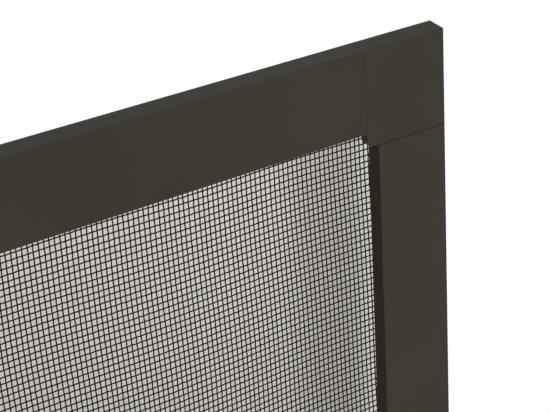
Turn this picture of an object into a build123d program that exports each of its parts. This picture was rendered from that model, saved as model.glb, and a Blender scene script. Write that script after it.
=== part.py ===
from build123d import *
import os

# A framed window insect screen: four hollow rails, cut square, are pushed onto the legs of four moulded
# corner pieces. The mesh lies over a low lip round the opening, and a round spline holds its turned-in
# edge in a groove that is open at the back. X runs across the window, +Z is up, and +Y is the back.
# The origin is the middle of the frame. Every size is in millimetres.

# Overall size, measured across the back of the frame
frame_width = 600.0
frame_height = 800.0
frame_depth = 6.0

# Rail section: a closed chamber, the spline groove and the lip beside the opening
outer_lean = 0.6  # how far the outer sides lean in from the back to the front
face_width = 21.6  # flat front face of a rail
skin = 0.9  # front skin, and floor of the groove
chamber_wall = 1.0
lip_wall = 1.2
lip_height = 4.2  # from the front face to the mesh
groove_width = 3.6
groove_bend = 2.2  # radius of the groove's inner wall where it turns a corner
front_edge_radius = 0.4
inner_edge_radius = 0.2

# Corner pieces
corner_face = 25.2  # side of the square that shows in front
tip_radius = 2.0  # round corner of the small tip inside the opening
tip_depth = 2.3  # thickness of that tip
gusset_width = 2.2  # rib behind the tip
gusset_side = 3.0  # its straight side
gusset_run = 5.2  # how far it runs along the next rail
rail_joint = 0.06  # open line between a corner piece and the top or bottom rail
stile_joint = 0.16  # the same at a stile
leg_length = 36.0
leg_clearance = 0.15
leg_tip = 2.5
rib_count = 6
rib_width = 2.4
rib_height = 0.7

# Mesh and spline
mesh_wall = 0.25
mesh_flange = 2.6  # how deep the mesh is tucked into the groove
spline_clearance = 0.05
spline_gap = 0.4  # where the two ends of the spline meet
gap_columns = 10
gap_rows = 12
warps_per_gap = 6  # raised upright strands for each column of gaps
wefts_per_gap = 7  # raised level strands for each row of gaps
ridge_width = 0.6
ridge_height = 0.15
ridge_margin = 1.0

# What follows from those sizes
front = -frame_depth / 2
back = frame_depth / 2
inner = outer_lean + face_width  # from the back's outer edge to the opening
groove_inner = inner - lip_wall
groove_outer = groove_inner - groove_width
corner_end = outer_lean + corner_face
rail_length = frame_width - 2 * (corner_end + rail_joint)
stile_length = frame_height - 2 * (corner_end + stile_joint)
opening_width = frame_width - 2 * inner
opening_height = frame_height - 2 * inner
chamber_left = outer_lean + chamber_wall
chamber_right = groove_outer - chamber_wall
chamber_width = chamber_right - chamber_left
chamber_middle = (chamber_left + chamber_right) / 2
chamber_depth = frame_depth - skin - chamber_wall
chamber_level = skin + chamber_depth / 2
groove_outer_bend = groove_bend + groove_width
spline_diameter = groove_width - mesh_wall - 2 * spline_clearance
mesh_level = front + lip_height
groove_span = 2 * corner_end
leaning_profile = ((outer_lean, 0), (corner_end, 0), (corner_end, frame_depth), (0, frame_depth))
leg_width = chamber_width - 2 * leg_clearance
leg_depth = chamber_depth - 2 * leg_clearance

os.makedirs("parts", exist_ok=True)


def save(piece, name):
    """Labels one finished piece and writes its STEP file."""
    piece.part.label = name
    export_step(piece.part, f"parts/{name}.step")


def make_rail(outward, run, half_span, length):
    """A hollow rail of one section: chamber, groove and lip, cut square at both ends."""
    start = outward * half_span - run * (length / 2) + Vector(0, front, 0)
    with BuildPart() as rail:
        # Local x runs from the outer side to the opening, local y from the front to the back
        with BuildSketch(Plane(origin=start, x_dir=outward * -1, z_dir=run)):
            with BuildLine():
                Polyline(
                    (outer_lean, 0),
                    (inner, 0),
                    (inner, lip_height),
                    (groove_inner, lip_height),
                    (groove_inner, skin),
                    (groove_outer, skin),
                    (groove_outer, frame_depth),
                    (0, frame_depth),
                    close=True,
                )
            make_face()
            with Locations((chamber_middle, chamber_level)):
                Rectangle(chamber_width, chamber_depth, mode=Mode.SUBTRACT)
        extrude(amount=length)
        front_edges = rail.part.edges().group_by(Axis.Y)[0].filter_by(lambda edge: edge.length > length / 2)
        front_edges = front_edges.sort_by(lambda edge: edge.center().length)
        fillet(front_edges[-1], front_edge_radius)
        fillet(front_edges[0], inner_edge_radius)
    return rail


def make_corner(place, inward):
    """A moulded corner piece. Local x and y run in from its two outer sides, local z to the back."""
    face = Plane(origin=(place[0], front, place[1]), x_dir=inward, z_dir=(0, 1, 0))
    with BuildPart() as corner:
        # Block between two rails, with their leaning outer side both ways
        with BuildSketch(Plane(face.origin, x_dir=face.x_dir, z_dir=face.y_dir * -1)):
            Polygon(*leaning_profile, align=None)
        extrude(amount=-corner_end)
        with BuildSketch(Plane(face.origin, x_dir=face.y_dir, z_dir=face.x_dir)):
            Polygon(*leaning_profile, align=None)
        extrude(amount=corner_end, mode=Mode.INTERSECT)
        # Tip inside the opening: thin, with a round corner
        with BuildSketch(face.offset(tip_depth)):
            with Locations((inner, inner)):
                Rectangle(corner_end, corner_end, align=(Align.MIN, Align.MIN))
        extrude(amount=frame_depth, mode=Mode.SUBTRACT)
        tip_corner = face.from_local_coords((corner_end, corner_end, 0))
        fillet(corner.part.edges().filter_by(Axis.Y).sort_by_distance(tip_corner)[0], tip_radius)
        outer_corner = face.from_local_coords((outer_lean, outer_lean, 0))
        front_edges = corner.part.edges().group_by(Axis.Y)[0]
        fillet(front_edges.sort_by_distance(outer_corner)[:2], front_edge_radius)
        # Rib behind the tip
        with BuildSketch(face.offset(tip_depth)):
            with BuildLine():
                Polyline(
                    (inner, inner),
                    (inner, inner + gusset_width),
                    (inner + gusset_side, inner + gusset_width),
                    (inner + gusset_run, inner),
                    close=True,
                )
            make_face()
        extrude(amount=lip_height - tip_depth)
        # Room for the mesh over the lip, and the groove that takes the spline round the corner
        with BuildSketch(face.offset(lip_height)):
            with Locations((groove_inner, groove_inner)):
                Rectangle(corner_end, corner_end, align=(Align.MIN, Align.MIN))
        extrude(amount=frame_depth, mode=Mode.SUBTRACT)
        with BuildSketch(face.offset(skin)):
            with Locations((groove_outer, groove_outer)):
                RectangleRounded(groove_span, groove_span, groove_outer_bend, align=(Align.MIN, Align.MIN))
            with Locations((groove_inner, groove_inner)):
                RectangleRounded(
                    groove_span, groove_span, groove_bend, align=(Align.MIN, Align.MIN), mode=Mode.SUBTRACT
                )
        extrude(amount=frame_depth, mode=Mode.SUBTRACT)
        # Ribbed legs that hold the two rails
        for along, across in ((face.x_dir, face.y_dir), (face.y_dir, face.x_dir)):
            root = face.origin + along * corner_end + across * chamber_middle + face.z_dir * chamber_level
            leg = Plane(origin=root, x_dir=along, z_dir=along.cross(across))
            with BuildSketch(leg):
                with BuildLine():
                    Polyline(
                        (0, -leg_width / 2),
                        (leg_length - leg_tip, -leg_width / 2),
                        (leg_length, leg_tip - leg_width / 2),
                        (leg_length, leg_width / 2 - leg_tip),
                        (leg_length - leg_tip, leg_width / 2),
                        (0, leg_width / 2),
                        close=True,
                    )
                make_face()
            extrude(amount=leg_depth / 2 - rib_height, both=True)
            with BuildSketch(leg):
                with Locations(((leg_length - leg_tip) / 2, 0)):
                    with GridLocations((leg_length - leg_tip) / rib_count, 1, rib_count, 1):
                        Rectangle(rib_width, leg_width)
            extrude(amount=leg_depth / 2, both=True)
    return corner


def make_mesh():
    """The woven mesh as one wall: level strands in front, upright strands behind, and open gaps."""
    sheet_width = frame_width - 2 * (groove_inner - mesh_wall)
    sheet_height = frame_height - 2 * (groove_inner - mesh_wall)
    sheet_front = Plane(origin=(0, mesh_level, 0), x_dir=(1, 0, 0), z_dir=(0, -1, 0))
    warp_pitch = opening_width / (gap_columns * warps_per_gap)
    weft_pitch = opening_height / (gap_rows * wefts_per_gap)
    with BuildPart() as mesh:
        with BuildSketch(sheet_front):
            RectangleRounded(sheet_width, sheet_height, groove_bend + mesh_wall)
        extrude(amount=-mesh_wall)
        # Edge tucked down into the groove
        with BuildSketch(sheet_front):
            RectangleRounded(sheet_width, sheet_height, groove_bend + mesh_wall)
            RectangleRounded(
                sheet_width - 2 * mesh_wall, sheet_height - 2 * mesh_wall, groove_bend, mode=Mode.SUBTRACT
            )
        extrude(amount=mesh_flange)
        with BuildSketch(sheet_front):
            with GridLocations(1, weft_pitch, 1, gap_rows * wefts_per_gap):
                Rectangle(opening_width - 2 * (gusset_run + ridge_margin), ridge_width)
        extrude(amount=ridge_height)
        with BuildSketch(sheet_front.offset(-mesh_wall)):
            with GridLocations(warp_pitch, 1, gap_columns * warps_per_gap, 1):
                Rectangle(ridge_width, opening_height - 2 * ridge_margin)
        extrude(amount=-ridge_height)
        # Gaps, each midway between two strands both ways
        to_space = ((warps_per_gap % 2) * warp_pitch / 2, (wefts_per_gap % 2) * weft_pitch / 2)
        with BuildSketch(sheet_front):
            with Locations(to_space):
                with GridLocations(warp_pitch * warps_per_gap, weft_pitch * wefts_per_gap, gap_columns, gap_rows):
                    Rectangle(warp_pitch - 2 * ridge_width, weft_pitch - 2 * ridge_width)
        extrude(amount=-mesh_wall, mode=Mode.SUBTRACT)
    return mesh


def make_spline():
    """One round cord, pressed into the groove all the way round, its two ends meeting at the bottom."""
    inset = groove_outer + spline_clearance + spline_diameter / 2
    side = frame_width / 2 - inset
    end = frame_height / 2 - inset
    level = front + skin + spline_clearance + spline_diameter / 2
    bend = groove_outer_bend - spline_clearance - spline_diameter / 2
    with BuildPart() as spline:
        with BuildLine(Plane(origin=(0, level, 0), x_dir=(1, 0, 0), z_dir=(0, -1, 0))):
            FilletPolyline(
                (spline_gap / 2, -end),
                (side, -end),
                (side, end),
                (-side, end),
                (-side, -end),
                (-spline_gap / 2, -end),
                radius=bend,
            )
        with BuildSketch(Plane(origin=(spline_gap / 2, level, -end), x_dir=(0, 1, 0), z_dir=(1, 0, 0))):
            Circle(spline_diameter / 2)
        sweep()
    return spline


up = Vector(0, 0, 1)
right = Vector(1, 0, 0)
for rail_name, outward, run, half_span, length in (
    ("top_rail", up, right, frame_height / 2, rail_length),
    ("bottom_rail", up * -1, right * -1, frame_height / 2, rail_length),
    ("left_stile", right * -1, up, frame_width / 2, stile_length),
    ("right_stile", right, up * -1, frame_width / 2, stile_length),
):
    save(make_rail(outward, run, half_span, length), rail_name)

for corner_name, place, inward in (
    ("top_left_corner", (-frame_width / 2, frame_height / 2), right),
    ("top_right_corner", (frame_width / 2, frame_height / 2), up * -1),
    ("bottom_right_corner", (frame_width / 2, -frame_height / 2), right * -1),
    ("bottom_left_corner", (-frame_width / 2, -frame_height / 2), up),
):
    save(make_corner(place, inward), corner_name)

save(make_mesh(), "insect_mesh")
save(make_spline(), "spline")
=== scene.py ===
import math

import bpy
import numpy as np
from mathutils import Matrix, Vector


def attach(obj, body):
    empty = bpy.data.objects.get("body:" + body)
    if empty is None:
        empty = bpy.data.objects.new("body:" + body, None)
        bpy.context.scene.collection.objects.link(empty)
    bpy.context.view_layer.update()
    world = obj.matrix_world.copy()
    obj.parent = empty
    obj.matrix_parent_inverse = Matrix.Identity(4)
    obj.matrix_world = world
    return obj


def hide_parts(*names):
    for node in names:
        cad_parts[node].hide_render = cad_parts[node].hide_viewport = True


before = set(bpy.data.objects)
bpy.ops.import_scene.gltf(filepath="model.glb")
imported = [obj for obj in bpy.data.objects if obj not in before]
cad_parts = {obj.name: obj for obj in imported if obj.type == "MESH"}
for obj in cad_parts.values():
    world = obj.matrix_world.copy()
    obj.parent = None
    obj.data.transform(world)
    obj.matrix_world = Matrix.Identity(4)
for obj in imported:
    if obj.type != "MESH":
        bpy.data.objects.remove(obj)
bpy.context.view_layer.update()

# The frame, in metres in the row frame
HALF_W = 0.300
HALF_H = 0.400
FRONT = -0.003
OPENING_IN = 0.0222  # from the outer side to the opening
GROOVE_IN = 0.0210  # from the outer side to the groove's inner wall
LIP_BACK = FRONT + 0.0042  # the lip's back, on which the mesh lies
SIDE_GAP = 0.0003  # how far off the opening a face still counts as its side

# The mesh, in metres
WARP_PITCH = 0.00138
WEFT_PITCH = 0.00165
SPARE_WARPS = 5  # strands beyond those that fit, because the cloth drifts
SPARE_WEFTS = 3
PITCH_ERROR = 0.00003  # how unevenly the strands are spaced
CROSSING_ERROR = 0.000012  # how far a crossing strays
WIRE_R = 0.00017
WEAVE_R = 0.00010  # how far a strand swings to the front and back
PLAIN_SWING = 0.3  # the share of that by which a plain strand stands off the middle
TUCK = 0.0022  # how deep the ends turn down into the groove
PAST_WALL = 0.00008  # from the groove's wall to the turned end
NEAR_W = 0.138  # the woven strands reach this far from the frame's right side
NEAR_H = 0.116  # and this far from its top
PLAIN_STEP = 20  # crossings from point to point on a plain strand
FINE_SIDES = 6
PLAIN_SIDES = 4
SEED = 7

# Waves of the pulled cloth, each a size, a length and a place where it is zero, in metres
WEFT_WAVE = (0.00042, 0.090, 0.2414)
WEFT_RIPPLE = (0.00017, 0.055, 0.18625)
WARP_LEAN = (0.00150, 0.42, 0.070)
WARP_WAVE = (0.00016, 0.060, 0.051)
WARP_WAVE_SLANT = 0.15  # how much lower that wave lies for each metre to the left
SLANT_FROM = 0.25
WAVE_GROWS = (0.022, 0.067)  # distances down from the top, over which the wefts' wave grows
WAVE_START = 0.55  # the share of the wave that is there from the start
RIPPLE_FADES = (0.025, 0.039)  # distances down, over which the ripple by the rail fades
STEP_RISES = (0.236, 0.254)  # where the wefts by the rail step up, toward the corner
STEP = 0.00017
WEFT_SHIFT = -0.00028

scene = bpy.context.scene
scene.view_settings.view_transform = "Standard"


# Materials

def material(name):
    """A new material with its node tree, Principled shader and object coordinates."""
    mat = bpy.data.materials.new(name)
    mat.use_nodes = True
    tree = mat.node_tree
    shader = tree.nodes["Principled BSDF"]
    coords = tree.nodes.new("ShaderNodeTexCoord")
    return mat, tree, shader, coords.outputs["Object"]


def noise(tree, vector, scale, detail, stretch=None):
    """A noise texture's value, on coordinates that may be stretched along an axis."""
    if stretch:
        mapping = tree.nodes.new("ShaderNodeMapping")
        mapping.inputs["Scale"].default_value = stretch
        tree.links.new(vector, mapping.inputs["Vector"])
        vector = mapping.outputs["Vector"]
    node = tree.nodes.new("ShaderNodeTexNoise")
    node.inputs["Scale"].default_value = scale
    node.inputs["Detail"].default_value = detail
    tree.links.new(vector, node.inputs["Vector"])
    return node.outputs["Fac"]


def ramp(tree, value, stops):
    """A colour ramp over (position, colour) stops."""
    node = tree.nodes.new("ShaderNodeValToRGB")
    band = node.color_ramp
    while len(band.elements) < len(stops):
        band.elements.new(0.5)
    for element, (place, colour) in zip(band.elements, stops):
        element.position = place
        element.color = (*colour, 1.0)
    tree.links.new(value, node.inputs["Fac"])
    return node.outputs["Color"]


def span(tree, value, low, high, start=0.0, end=1.0):
    """A value from start to end mapped onto low to high, and held beyond them."""
    node = tree.nodes.new("ShaderNodeMapRange")
    node.inputs["From Min"].default_value = start
    node.inputs["From Max"].default_value = end
    node.inputs["To Min"].default_value = low
    node.inputs["To Max"].default_value = high
    tree.links.new(value, node.inputs["Value"])
    return node.outputs["Result"]


def coat(tree, shader, mottle, tones, polish, rough, gloss):
    """Colour between two tones by one noise, roughness by another, and how far it shines."""
    colour = ramp(tree, mottle, ((0.3, tones[0]), (0.7, tones[1])))
    tree.links.new(colour, shader.inputs["Base Color"])
    tree.links.new(span(tree, polish, *rough), shader.inputs["Roughness"])
    shader.inputs["Specular IOR Level"].default_value = gloss


def bump(tree, shader, heights):
    """Bumps stacked on the shader's normal, each a (value, depth in metres, strength)."""
    last = None
    for value, depth, strength in heights:
        node = tree.nodes.new("ShaderNodeBump")
        node.inputs["Distance"].default_value = depth
        node.inputs["Strength"].default_value = strength
        tree.links.new(value, node.inputs["Height"])
        if last:
            tree.links.new(last, node.inputs["Normal"])
        last = node.outputs["Normal"]
    tree.links.new(last, shader.inputs["Normal"])


def coated_metal(name, stretch):
    """Dark bronze coat on an extrusion, with faint die lines along the rail."""
    mat, tree, shader, place = material(name)
    mottle = noise(tree, place, scale=22, detail=4)
    peel = noise(tree, place, scale=1500, detail=2)
    lines = noise(tree, place, scale=2600, detail=3, stretch=stretch)
    tones = (0.0352, 0.0305, 0.0228), (0.0398, 0.0343, 0.0256)
    coat(tree, shader, mottle, tones, lines, rough=(0.48, 0.60), gloss=0.125)
    bump(tree, shader, ((peel, 0.00002, 0.5), (lines, 0.00001, 0.6)))
    return mat


def painted_shade_side():
    """The browner, duller sides of the rails that face the opening, as painted shade that stands in
    for the shade there.
    """
    mat, tree, shader, place = material("inner_side_painted_shade")
    cloud = noise(tree, place, scale=120, detail=4)
    peel = noise(tree, place, scale=1500, detail=2)
    # Browner tones with little gloss, painted as the shade on these sides
    tones = (0.057, 0.041, 0.0325), (0.066, 0.048, 0.0385)
    coat(tree, shader, cloud, tones, cloud, rough=(0.75, 0.90), gloss=0.02)
    bump(tree, shader, ((peel, 0.00002, 0.5),))
    return mat


def moulded_plastic():
    """The same dark bronze in moulded plastic, with a fine eroded grain."""
    mat, tree, shader, place = material("corner_plastic_look")
    mottle = noise(tree, place, scale=60, detail=4)
    grain = noise(tree, place, scale=4200, detail=3)
    tones = (0.0362, 0.0325, 0.0232), (0.0406, 0.0361, 0.0258)
    coat(tree, shader, mottle, tones, grain, rough=(0.52, 0.66), gloss=0.125)
    bump(tree, shader, ((grain, 0.00002, 0.7),))
    return mat


def coated_yarn():
    """Charcoal coated yarn of the mesh, a little uneven along each strand."""
    mat, tree, shader, place = material("mesh_yarn_look")
    fleck = noise(tree, place, scale=900, detail=3)
    skin = noise(tree, place, scale=6000, detail=2)
    tones = (0.006, 0.0045, 0.002), (0.011, 0.0085, 0.004)
    coat(tree, shader, fleck, tones, fleck, rough=(0.40, 0.62), gloss=0.04)
    bump(tree, shader, ((skin, 0.00002, 0.6),))
    return mat


def spline_rubber():
    """Black vinyl of the spline, with a slightly uneven extruded skin."""
    mat, tree, shader, place = material("spline_rubber_look")
    cloud = noise(tree, place, scale=150, detail=4)
    skin = noise(tree, place, scale=900, detail=3)
    tones = (0.012, 0.012, 0.012), (0.022, 0.022, 0.021)
    coat(tree, shader, cloud, tones, cloud, rough=(0.55, 0.75), gloss=0.4)
    bump(tree, shader, ((skin, 0.00005, 0.5),))
    return mat


def dress(names, mat):
    """Gives CAD nodes a material in place of the plain one."""
    for name in names:
        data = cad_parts[name].data
        data.materials.clear()
        data.materials.append(mat)


def dress_inner_sides_with_shade(names, mat):
    """Gives the faces that look into the opening a material of their own, which paints the shade on
    them.
    """
    for name in names:
        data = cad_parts[name].data
        data.materials.append(mat)
        for face in data.polygons:
            outward = face.center.x * face.normal.x + face.center.z * face.normal.z
            sideways = abs(face.normal.y) < 0.1
            off = max(abs(face.center.x) - HALF_W, abs(face.center.z) - HALF_H) + OPENING_IN
            if outward < 0 and sideways and abs(off) < SIDE_GAP:
                face.material_index = 1


RAILS = ("top_rail", "bottom_rail")
STILES = ("left_stile", "right_stile")
CORNERS = ("top_left_corner", "top_right_corner", "bottom_right_corner", "bottom_left_corner")

dress(RAILS, coated_metal("rail_coat_look", stretch=(0.02, 1, 1)))
dress(STILES, coated_metal("stile_coat_look", stretch=(1, 1, 0.02)))
# The sides facing the opening get painted shade
dress_inner_sides_with_shade(RAILS + STILES, painted_shade_side())
dress(CORNERS, moulded_plastic())
dress(("spline",), spline_rubber())


# Mesh: fine tubes that cross over and under near the corner that shows, and plainer ones elsewhere

MESH_MID = LIP_BACK + WIRE_R + WEAVE_R
EDGE_X = HALF_W - GROOVE_IN + PAST_WALL
EDGE_Z = HALF_H - GROOVE_IN + PAST_WALL


def ease(value, span_of):
    """0 before a span of values, 1 after it, and a straight slope between."""
    start, end = span_of
    return np.clip((value - start) / (end - start), 0, 1)


def wave(shape, at):
    """The value of a sine wave, given as its size, length and place of zero."""
    size, length, zero = shape
    return size * np.sin(2 * np.pi * (at - zero) / length)


def drift(x, z):
    """How far the cloth has shifted in its own plane where it was pulled tight."""
    down = HALF_H - z
    grown = WAVE_START + (1 - WAVE_START) * ease(down, WAVE_GROWS)
    free = ease(down, RIPPLE_FADES)
    by_rail = wave(WEFT_RIPPLE, x) + STEP * ease(x, STEP_RISES)
    dz = free * grown * wave(WEFT_WAVE, x) + (1 - free) * by_rail + WEFT_SHIFT
    dx = wave(WARP_LEAN, down) + wave(WARP_WAVE, down + WARP_WAVE_SLANT * (x - SLANT_FROM))
    return dx, dz


def spread(count, pitch, rng):
    """Places of that many strands about the middle, a pitch apart and a little uneven."""
    return (np.arange(count) - (count - 1) / 2) * pitch + rng.normal(0, PITCH_ERROR, count)


def crossings(warp_x, weft_z, rng):
    """The place of each crossing, as two grids indexed by warp and weft."""
    x, z = np.meshgrid(warp_x, weft_z, indexing="ij")
    dx, dz = drift(x, z)
    x = x + dx + rng.normal(0, CROSSING_ERROR, x.shape)
    z = z + dz + rng.normal(0, CROSSING_ERROR, z.shape)
    return x, z


rng = np.random.default_rng(SEED)
warp_count = int(2 * EDGE_X / WARP_PITCH) + SPARE_WARPS
weft_count = int(2 * EDGE_Z / WEFT_PITCH) + SPARE_WEFTS
warp_x = spread(warp_count, WARP_PITCH, rng)
weft_z = spread(weft_count, WEFT_PITCH, rng)
CROSS_X, CROSS_Z = crossings(warp_x, weft_z, rng)
OVER = (-1.0) ** np.add.outer(np.arange(warp_count), np.arange(weft_count))
near_warps = np.flatnonzero(warp_x > HALF_W - NEAR_W).tolist()
near_wefts = np.flatnonzero(weft_z > HALF_H - NEAR_H).tolist()


def samples(count, woven):
    """Places along a strand: crossings and middles where it's woven, few points elsewhere."""
    places = set(range(0, count, PLAIN_STEP)) | {count - 1}
    if woven:
        low, high = woven[0], woven[-1]
        places = {p for p in places if not low <= p <= high}
        places |= {low + k / 2 for k in range(2 * (high - low) + 1)}
    return np.array(sorted(places))


def strand(index, upright, woven):
    """The centre line of one strand, cut where it turns down into the groove.

    woven lists the crossings modelled over and under, and is None on a plain strand.
    """
    if upright:
        across, up, swing = CROSS_X[index], CROSS_Z[index], OVER[index]
    else:
        across, up, swing = CROSS_X[:, index], CROSS_Z[:, index], -OVER[:, index]
    along = samples(len(across), woven)
    crossing = np.arange(len(across))
    x = np.interp(along, crossing, across)
    z = np.interp(along, crossing, up)
    if woven:
        y = MESH_MID + WEAVE_R * np.interp(along, crossing, swing)
    else:
        side = 1 if upright else -1
        y = np.full_like(x, MESH_MID + side * WEAVE_R * PLAIN_SWING)
    inside = (abs(x) < EDGE_X) & (abs(z) < EDGE_Z)
    ends = np.flatnonzero(np.diff(np.concatenate([[False], inside, [False]]).astype(int)))
    for first, beyond in ends.reshape(-1, 2):
        points = np.stack([x, y, z], axis=1)[max(first - 1, 0):beyond + 1]
        points[:, 0] = np.clip(points[:, 0], -EDGE_X, EDGE_X)
        points[:, 2] = np.clip(points[:, 2], -EDGE_Z, EDGE_Z)
        yield points


def tucked(points):
    """The line with both ends bent down into the groove."""
    down = (0, TUCK, 0)
    return np.vstack([points[0] - down, points, points[-1] - down])


def tube(points, radius, sides, upright):
    """Ring vertices and quads of a thin tube round a line."""
    step = np.gradient(points, axis=0)
    step /= np.linalg.norm(step, axis=1, keepdims=True) + 1e-12
    side = np.tile((1.0, 0, 0) if upright else (0, 0, 1.0), (len(points), 1))
    third = np.cross(step, side)
    third /= np.linalg.norm(third, axis=1, keepdims=True) + 1e-12
    turn = np.arange(sides) * 2 * np.pi / sides + np.pi / sides
    cosines = np.cos(turn)[None, :, None]
    sines = np.sin(turn)[None, :, None]
    rings = points[:, None] + radius * (cosines * side[:, None] + sines * third[:, None])
    row = np.arange(len(points) - 1)[:, None] * sides
    here = np.arange(sides)
    following = (here + 1) % sides
    corners = [row + here, row + following, row + sides + following, row + sides + here]
    return rings.reshape(-1, 3), np.stack(corners, axis=2).reshape(-1, 4)


def strands_object(name, chosen, sides, mat):
    """One object of many strands, from (index, upright, woven) choices."""
    all_points, all_quads, total = [], [], 0
    for choice in chosen:
        for points in strand(*choice):
            rings, quads = tube(tucked(points), WIRE_R, sides, upright=choice[1])
            all_points.append(rings)
            all_quads.append(quads + total)
            total += len(rings)
    points, quads = np.concatenate(all_points), np.concatenate(all_quads)
    data = bpy.data.meshes.new(name)
    data.vertices.add(len(points))
    data.vertices.foreach_set("co", points.ravel())
    data.loops.add(quads.size)
    data.loops.foreach_set("vertex_index", quads.ravel())
    data.polygons.add(len(quads))
    data.polygons.foreach_set("loop_start", np.arange(len(quads)) * 4)
    data.polygons.foreach_set("use_smooth", np.ones(len(quads), bool))
    data.update(calc_edges=True)
    data.validate()
    data.materials.append(mat)
    obj = bpy.data.objects.new(name, data)
    scene.collection.objects.link(obj)
    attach(obj, "root")
    return obj


yarn = coated_yarn()
woven_warps = [(i, True, near_wefts) for i in near_warps]
woven_wefts = [(j, False, near_warps) for j in near_wefts]
plain = [(i, True, None) for i in range(warp_count) if i not in near_warps]
plain += [(j, False, None) for j in range(weft_count) if j not in near_wefts]
warp_piece = strands_object("mesh_warps_by_corner", woven_warps, FINE_SIDES, yarn)
weft_piece = strands_object("mesh_wefts_by_corner", woven_wefts, FINE_SIDES, yarn)
mesh_piece = strands_object("mesh_strands", plain, PLAIN_SIDES, yarn)
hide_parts("insect_mesh")


# Floor, backdrop card, light and camera

def plane(name, corners, mat):
    """A flat piece of the stage from its four corners."""
    data = bpy.data.meshes.new(name)
    data.from_pydata(corners, [], [(0, 1, 2, 3)])
    data.materials.append(mat)
    obj = bpy.data.objects.new(name, data)
    scene.collection.objects.link(obj)
    return obj


def bare_tree(name):
    """A material with an empty tree and its output, for floor and backdrop."""
    mat = bpy.data.materials.new(name)
    mat.use_nodes = True
    tree = mat.node_tree
    tree.nodes.clear()
    return mat, tree, tree.nodes.new("ShaderNodeOutputMaterial")


def mixed(tree, share, first, second):
    """Two shaders mixed, the second by that share."""
    node = tree.nodes.new("ShaderNodeMixShader")
    tree.links.new(share, node.inputs["Fac"])
    tree.links.new(first.outputs[0], node.inputs[1])
    tree.links.new(second.outputs[0], node.inputs[2])
    return node.outputs[0]


def seen_ray(tree):
    """1 for the rays that show a background: camera, glossy and transmission."""
    path = tree.nodes.new("ShaderNodeLightPath")
    first = tree.nodes.new("ShaderNodeMath")
    first.operation = "MAXIMUM"
    tree.links.new(path.outputs["Is Camera Ray"], first.inputs[0])
    tree.links.new(path.outputs["Is Glossy Ray"], first.inputs[1])
    second = tree.nodes.new("ShaderNodeMath")
    second.operation = "MAXIMUM"
    tree.links.new(first.outputs[0], second.inputs[0])
    tree.links.new(path.outputs["Is Transmission Ray"], second.inputs[1])
    return second.outputs[0]


def floor_look():
    """A pale floor that lights the object as grey and shows as white with a soft shadow."""
    mat, tree, out = bare_tree("floor_white")
    diffuse = tree.nodes.new("ShaderNodeBsdfDiffuse")
    diffuse.inputs["Color"].default_value = (0.80, 0.80, 0.80, 1)
    shadowed = tree.nodes.new("ShaderNodeBsdfDiffuse")
    shadowed.inputs["Color"].default_value = (0.30, 0.30, 0.30, 1)
    glow = tree.nodes.new("ShaderNodeEmission")
    glow.inputs["Strength"].default_value = 0.91
    shown = tree.nodes.new("ShaderNodeAddShader")
    tree.links.new(shadowed.outputs[0], shown.inputs[0])
    tree.links.new(glow.outputs[0], shown.inputs[1])
    tree.links.new(mixed(tree, seen_ray(tree), diffuse, shown), out.inputs["Surface"])
    return mat


def linear(level):
    """An sRGB level from 0 to 255 as linear light."""
    c = level / 255
    return c / 12.92 if c <= 0.04045 else ((c + 0.055) / 1.055) ** 2.4


def warm(level, less_green=3.5, less_blue=9):
    """A warm grey whose red is that sRGB level."""
    return linear(level), linear(level - less_green), linear(level - less_blue)


def card_look():
    """Warm grey light with soft bands near the corner that shows, painted as the stile's shadow
    with lighter strips beside it, clear from behind.
    """
    mat, tree, out = bare_tree("backdrop_grey")
    coords = tree.nodes.new("ShaderNodeTexCoord")
    split = tree.nodes.new("ShaderNodeSeparateXYZ")
    tree.links.new(coords.outputs["Object"], split.inputs["Vector"])
    x, z = split.outputs["X"], split.outputs["Z"]

    # Painted light and shadow: upright bands toward the stile, a dark one as the stile's shadow
    # with lighter strips either side, which fade to one tone further down
    stile_shadow_bands = ramp(tree, span(tree, x, 0, 1, start=0.180, end=0.280), (
        (0.0, warm(201)), (0.55, warm(210)), (0.70, warm(209)), (0.79, warm(189)),
        (0.90, warm(184)), (0.94, warm(191, 2.5)), (0.97, warm(206, 1.5))))
    tone = tree.nodes.new("ShaderNodeMixRGB")
    tone.inputs["Color1"].default_value = (*warm(201), 1)
    tree.links.new(span(tree, z, 0, 1, start=0.20, end=0.27), tone.inputs["Fac"])
    tree.links.new(stile_shadow_bands, tone.inputs["Color2"])

    # Painted shade: dimmer downward, and less so in the band beside the stile
    painted_shade_downward = span(tree, z, 1.0, 0.80, start=0.375, end=0.290)
    by_stile = span(tree, x, 0, 0.15, start=0.270, end=0.277)
    lower = span(tree, z, 0, 1, start=0.350, end=0.310)
    strength = tree.nodes.new("ShaderNodeMath")
    strength.operation = "MULTIPLY_ADD"
    for socket, value in zip(strength.inputs, (by_stile, lower, painted_shade_downward)):
        tree.links.new(value, socket)

    glow = tree.nodes.new("ShaderNodeEmission")
    tree.links.new(tone.outputs["Color"], glow.inputs["Color"])
    tree.links.new(strength.outputs[0], glow.inputs["Strength"])
    clear = tree.nodes.new("ShaderNodeBsdfTransparent")
    behind = tree.nodes.new("ShaderNodeNewGeometry").outputs["Backfacing"]
    tree.links.new(mixed(tree, behind, glow, clear), out.inputs["Surface"])
    return mat


def studio():
    """A white background, whose light on the object grows weaker toward straight above."""
    world = bpy.data.worlds.new("studio")
    world.use_nodes = True
    tree = world.node_tree
    tree.nodes.clear()
    out = tree.nodes.new("ShaderNodeOutputWorld")
    coords = tree.nodes.new("ShaderNodeTexCoord")
    height = tree.nodes.new("ShaderNodeSeparateXYZ")
    tree.links.new(coords.outputs["Generated"], height.inputs["Vector"])
    light = tree.nodes.new("ShaderNodeBackground")
    light.inputs["Color"].default_value = (1, 1, 1, 1)
    tree.links.new(span(tree, height.outputs["Z"], 0.46, 0.06), light.inputs["Strength"])
    white = tree.nodes.new("ShaderNodeBackground")
    white.inputs["Color"].default_value = (1, 1, 1, 1)
    tree.links.new(mixed(tree, seen_ray(tree), light, white), out.inputs["Surface"])
    return world


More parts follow.
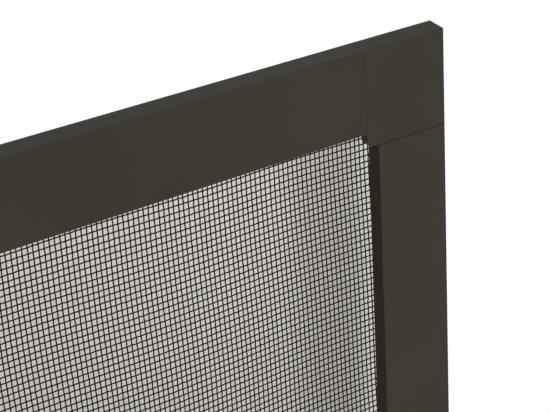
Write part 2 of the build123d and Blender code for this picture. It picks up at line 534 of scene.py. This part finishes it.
def lamp(name, place, aim, size, power):
    """A soft square lamp at a place, turned to a point."""
    data = bpy.data.lights.new(name, "AREA")
    data.shape = "SQUARE"
    data.size = size
    data.energy = power
    obj = bpy.data.objects.new(name, data)
    obj.location = place
    obj.rotation_euler = (Vector(aim) - Vector(place)).to_track_quat("-Z", "Y").to_euler()
    scene.collection.objects.link(obj)


FLOOR_R = 12
FLOOR_Z = -HALF_H
plane("floor", [
    (-FLOOR_R, -FLOOR_R, FLOOR_Z), (FLOOR_R, -FLOOR_R, FLOOR_Z),
    (FLOOR_R, FLOOR_R, FLOOR_Z), (-FLOOR_R, FLOOR_R, FLOOR_Z)], floor_look())

# The card stands behind the mesh, and only the camera's straight rays meet it
CARD_X = HALF_W - 0.0212
CARD_Z = HALF_H - 0.0212
CARD_Y = 0.0024
card = plane("backdrop_card", [
    (-CARD_X, CARD_Y, -CARD_Z), (CARD_X, CARD_Y, -CARD_Z),
    (CARD_X, CARD_Y, CARD_Z), (-CARD_X, CARD_Y, CARD_Z)], card_look())
card.visible_shadow = False
card.visible_diffuse = False
card.visible_glossy = False
card.visible_transmission = False

scene.world = studio()
lamp("key", place=(0.8, -3.0, 1.7), aim=(0.1, 0, 0.1), size=1.8, power=68.5)
lamp("back_fill", place=(-1.8, 2.4, 0.5), aim=(0, 0, 0), size=1.8, power=45)

# Camera from the photograph's viewpoint, in front of the corner that shows, left of it and above
YAW, PITCH, ROLL = (math.radians(a) for a in (34.518, 23.768, -3.273))
CORNER = Vector((HALF_W - 0.0006, FRONT, HALF_H - 0.0006))
FROM_CORNER = Vector((-0.27510, -0.32160, 0.13976))
FOCAL_PX = 1775.0
PHOTO_W = 550
SENSOR = 36
ahead = Vector((math.sin(YAW) * math.cos(PITCH), math.cos(YAW) * math.cos(PITCH), -math.sin(PITCH)))
level = Vector((math.cos(YAW), -math.sin(YAW), 0))
above = level.cross(ahead)
right = math.cos(ROLL) * level + math.sin(ROLL) * above
upper = -math.sin(ROLL) * level + math.cos(ROLL) * above
turned = Matrix((right, upper, -ahead)).transposed().to_4x4()
camera_data = bpy.data.cameras.new("photo_camera")
camera_data.sensor_width = SENSOR
camera_data.lens = FOCAL_PX / PHOTO_W * SENSOR
camera_data.clip_start = 0.01
camera_data.clip_end = 100
camera = bpy.data.objects.new("photo_camera", camera_data)
camera.matrix_world = Matrix.Translation(CORNER + FROM_CORNER) @ turned
scene.collection.objects.link(camera)
scene.camera = camera
